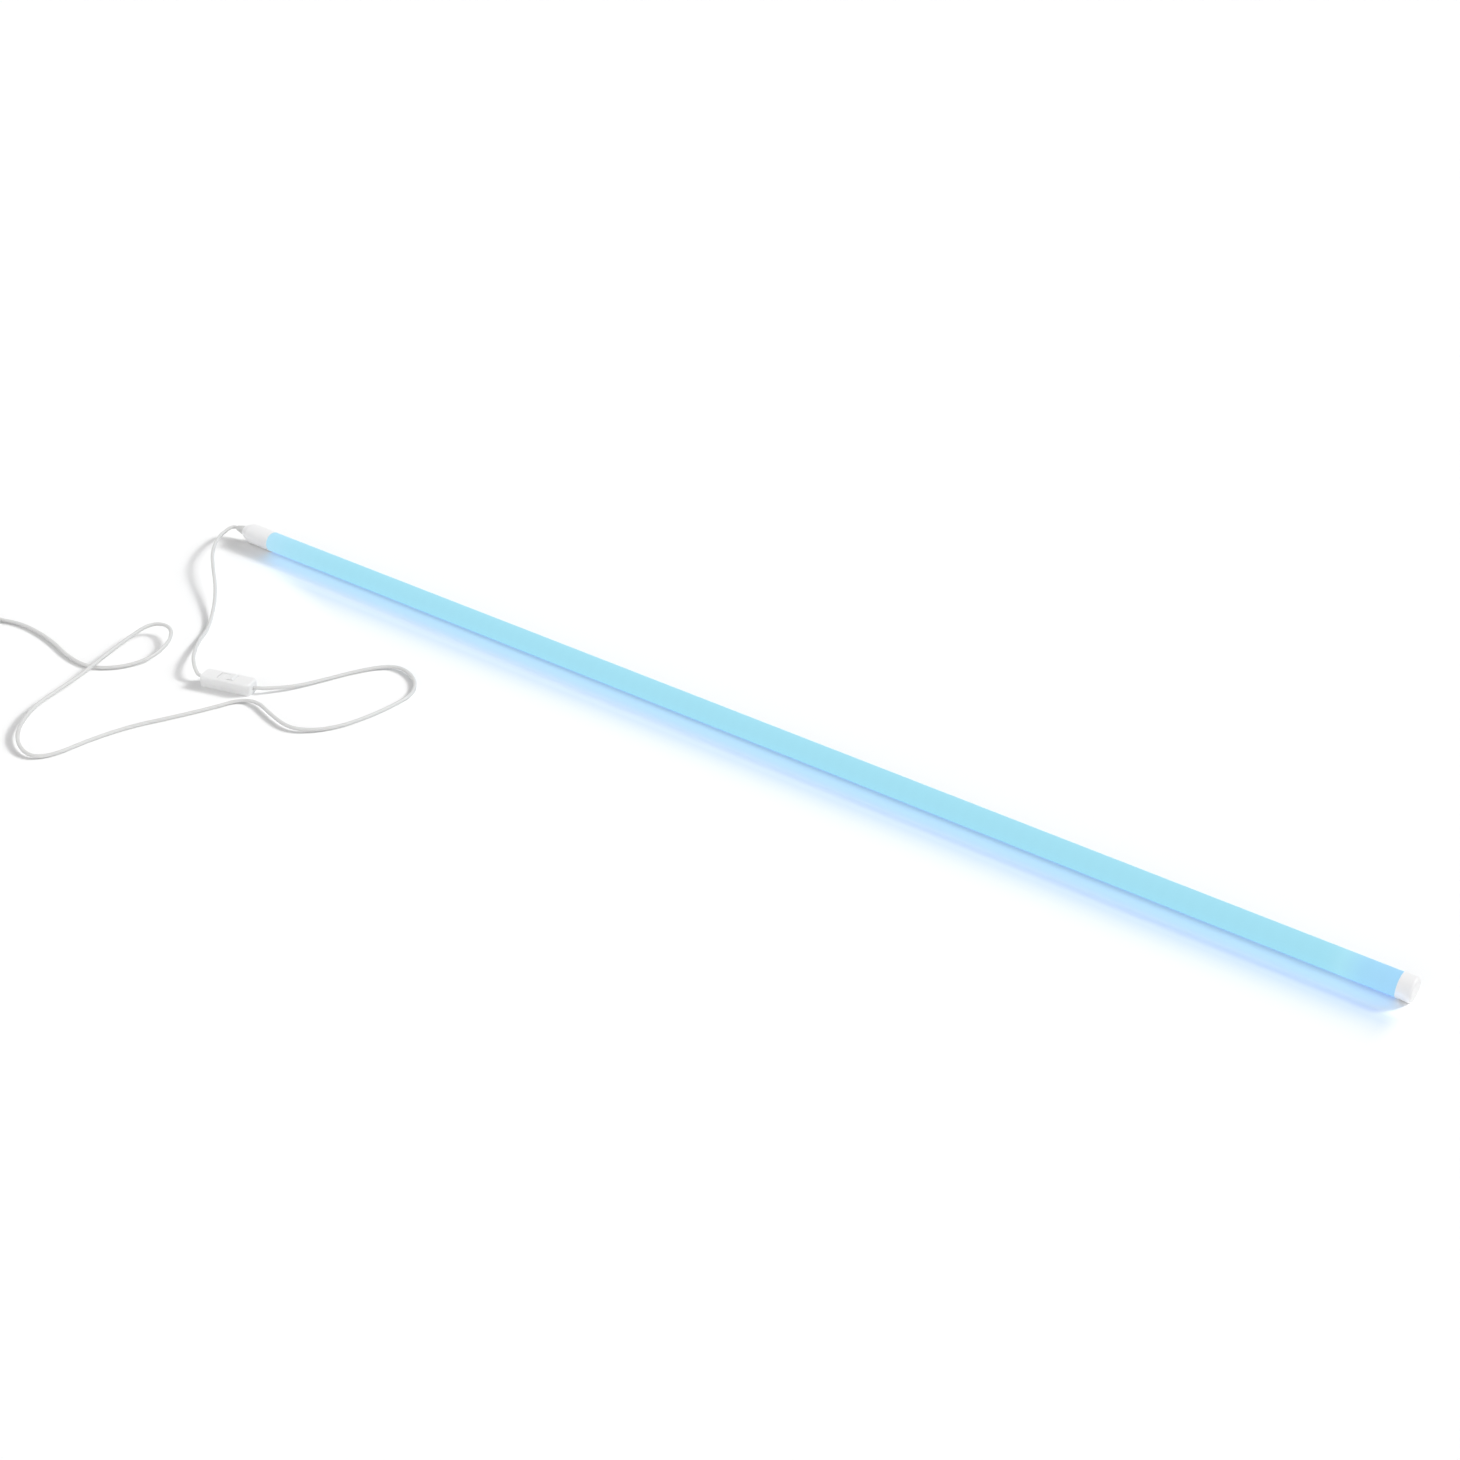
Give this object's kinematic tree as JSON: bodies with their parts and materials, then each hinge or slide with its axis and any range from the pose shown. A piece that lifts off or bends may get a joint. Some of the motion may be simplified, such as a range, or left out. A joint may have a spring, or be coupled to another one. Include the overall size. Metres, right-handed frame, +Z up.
{
  "type": "linear led tube lamp",
  "caption": "Slim linear LED tube lamp: a frosted diffuser tube with white end caps, on a white mains lead with an in-line rocker switch and a flat two-pin plug.",
  "frame": {"origin": "on the floor under the middle of the lamp's length, from the strain relief's tip to the free end", "axes": "+X along the tube from the cord end to the free end, +Z up, +Y to the side away from the cord"},
  "size_m": [1.6161, 0.4953, 0.0244],
  "materials": {
    "frosted_diffuser": "frosted translucent polycarbonate, lit from inside",
    "white_moulding": "fine satin moulded polycarbonate",
    "white_pvc": "soft satin PVC",
    "carrier_aluminium": "plain extruded",
    "led_board_mask": "white solder mask",
    "led_package": "phosphor gel in a white housing",
    "black_component": "matt moulded epoxy",
    "driver_laminate": "paper laminate",
    "capacitor_sleeve": "shrink sleeve",
    "ferrite": "sintered ferrite with a varnished winding",
    "fuse_lacquer": "lacquered",
    "brown_insulation": "PVC core insulation",
    "blue_insulation": "PVC core insulation",
    "red_insulation": "PVC core insulation",
    "black_insulation": "PVC core insulation",
    "contact_brass": "stamped",
    "pin_brass": "nickel-plated, turned",
    "steel": "zinc-plated"
  },
  "bodies": {
    "lamp": {"diffuser_tube": "frosted_diffuser", "led_carrier": "carrier_aluminium", "led_board": "led_board_mask", "led_chips": "led_package", "board_resistors": "black_component", "cord_end_cap": "white_moulding", "free_end_cap": "white_moulding", "strain_relief": "white_pvc", "driver_board": "driver_laminate", "smoothing_capacitor": "capacitor_sleeve", "driver_choke": "ferrite", "bridge_rectifier": "black_component", "fuse_resistor": "fuse_lacquer", "live_core": "brown_insulation", "neutral_core": "blue_insulation", "positive_lead": "red_insulation", "negative_lead": "black_insulation", "switch_base": "white_moulding", "switch_cover": "white_moulding", "switch_screws": "steel", "rocker_pin": "steel", "input_contact": "contact_brass", "output_contact": "contact_brass", "rocker_spring": "steel", "through_wire": "blue_insulation", "input_wire": "brown_insulation", "output_wire": "brown_insulation", "cord_to_switch": "white_pvc", "cord_from_switch": "white_pvc", "cord_coil": "white_pvc", "coil_tie": "white_moulding", "cord_to_plug": "white_pvc", "plug_body": "white_pvc", "plug_pins": "pin_brass", "plug_sleeves": "black_component"},
    "rocker": {"switch_rocker": "white_moulding", "contact_bridge": "contact_brass"}
  },
  "joints": [
    {"name": "rocker_hinge", "type": "hinge", "parent": "lamp", "child": "rocker", "pos_m": [-0.477, -0.259, 0.0086], "axis": [-0.2756, 0.9613, 0], "range_deg": [0, 12]}
  ]
}
